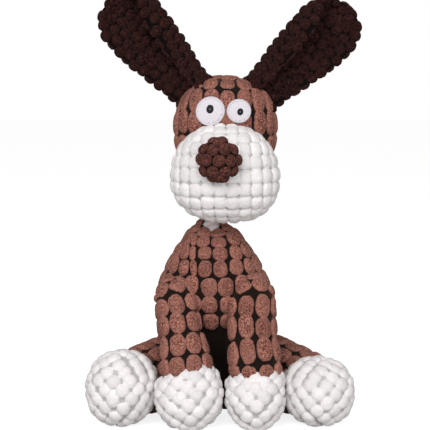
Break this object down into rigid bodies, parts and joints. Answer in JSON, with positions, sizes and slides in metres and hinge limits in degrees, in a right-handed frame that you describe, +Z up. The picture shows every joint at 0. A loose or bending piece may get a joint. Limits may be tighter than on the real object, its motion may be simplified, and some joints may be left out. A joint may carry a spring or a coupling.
{
  "type": "stuffed squeaky dog toy",
  "caption": "Sitting stuffed donkey dog toy in cell-patterned plush, with long cupped ears, a rope neck, soft hinged limbs and a bellows squeaker in its belly.",
  "frame": {"origin": "on the ground, under the middle of the toy's box as it sits", "axes": "+Z up, -Y the way the toy faces, +X towards the toy's own left"},
  "size_m": [0.1964, 0.137, 0.3077],
  "materials": {
    "brown_plush": "rough",
    "white_plush": "rough",
    "dark_plush": "rough",
    "black_lining": "matte",
    "eye_cloth": "matte",
    "pupil_thread": "satin",
    "filling": "matte",
    "cotton_rope": "matte",
    "clear_plastic": "satin",
    "reed_plastic": "satin"
  },
  "bodies": {
    "torso": {"torso_left_panel": "brown_plush", "torso_right_panel": "brown_plush", "belly_gusset": "black_lining", "torso_filling": "filling", "squeaker_base": "clear_plastic", "squeaker_bellows": "clear_plastic", "reed_carrier": "clear_plastic", "reed": "reed_plastic", "reed_wedge": "clear_plastic"},
    "squeaker_cap": {"squeaker_cap": "clear_plastic"},
    "neck": {"neck_rope": "cotton_rope"},
    "head": {"head_hood": "brown_plush", "muzzle": "white_plush", "head_filling": "filling", "nose": "dark_plush", "right_eye_patch": "eye_cloth", "right_pupil": "pupil_thread", "left_eye_patch": "eye_cloth", "left_pupil": "pupil_thread"},
    "right_ear": {"right_ear_front": "dark_plush", "right_ear_back": "dark_plush"},
    "left_ear": {"left_ear_front": "dark_plush", "left_ear_back": "dark_plush"},
    "right_front_leg": {"right_front_leg_sleeve": "brown_plush", "right_front_paw": "white_plush", "right_front_leg_filling": "filling"},
    "left_front_leg": {"left_front_leg_sleeve": "brown_plush", "left_front_paw": "white_plush", "left_front_leg_filling": "filling"},
    "right_hind_leg": {"right_hind_leg_sleeve": "brown_plush", "right_hind_paw": "white_plush", "right_hind_leg_filling": "filling"},
    "left_hind_leg": {"left_hind_leg_sleeve": "brown_plush", "left_hind_paw": "white_plush", "left_hind_leg_filling": "filling"}
  },
  "joints": [
    {"name": "neck_nod", "type": "hinge", "parent": "torso", "child": "neck", "pos_m": [-0.00986, 0.00421, 0.14], "axis": [0.9914, 0, -0.1305], "range_deg": [-25, 25], "stiffness_Nm_per_rad": 0.35},
    {"name": "head_turn", "type": "hinge", "parent": "neck", "child": "head", "pos_m": [-0.00986, 0.00421, 0.14], "axis": [0.1305, 0, 0.9914], "range_deg": [-45, 45], "stiffness_Nm_per_rad": 0.12},
    {"name": "right_ear_flop", "type": "hinge", "parent": "head", "child": "right_ear", "pos_m": [-0.02579, 0.01121, 0.23629], "axis": [0.7431, 0, 0.6691], "range_deg": [-30, 45], "stiffness_Nm_per_rad": 0.05},
    {"name": "left_ear_flop", "type": "hinge", "parent": "head", "child": "left_ear", "pos_m": [0.02822, 0.01121, 0.23415], "axis": [0.6884, 0, -0.7254], "range_deg": [-30, 45], "stiffness_Nm_per_rad": 0.05},
    {"name": "right_front_leg_swing", "type": "hinge", "parent": "torso", "child": "right_front_leg", "pos_m": [-0.0302, -0.01463, 0.1026], "axis": [-1, 0, 0], "range_deg": [0, 60], "stiffness_Nm_per_rad": 0.15},
    {"name": "left_front_leg_swing", "type": "hinge", "parent": "torso", "child": "left_front_leg", "pos_m": [0.0198, -0.01463, 0.1052], "axis": [-1, 0, 0], "range_deg": [0, 60], "stiffness_Nm_per_rad": 0.15},
    {"name": "right_hind_leg_swing", "type": "hinge", "parent": "torso", "child": "right_hind_leg", "pos_m": [-0.0497, 0.03227, 0.025], "axis": [0, 0, -1], "range_deg": [0, 45], "stiffness_Nm_per_rad": 0.15},
    {"name": "left_hind_leg_swing", "type": "hinge", "parent": "torso", "child": "left_hind_leg", "pos_m": [0.0423, 0.03227, 0.025], "axis": [0, 0, 1], "range_deg": [0, 45], "stiffness_Nm_per_rad": 0.15},
    {"name": "squeaker_press", "type": "slide", "parent": "torso", "child": "squeaker_cap", "axis": [0, 0, -1], "range_m": [0, 0.008], "stiffness_N_per_m": 400, "deforming": ["squeaker_bellows"]}
  ]
}
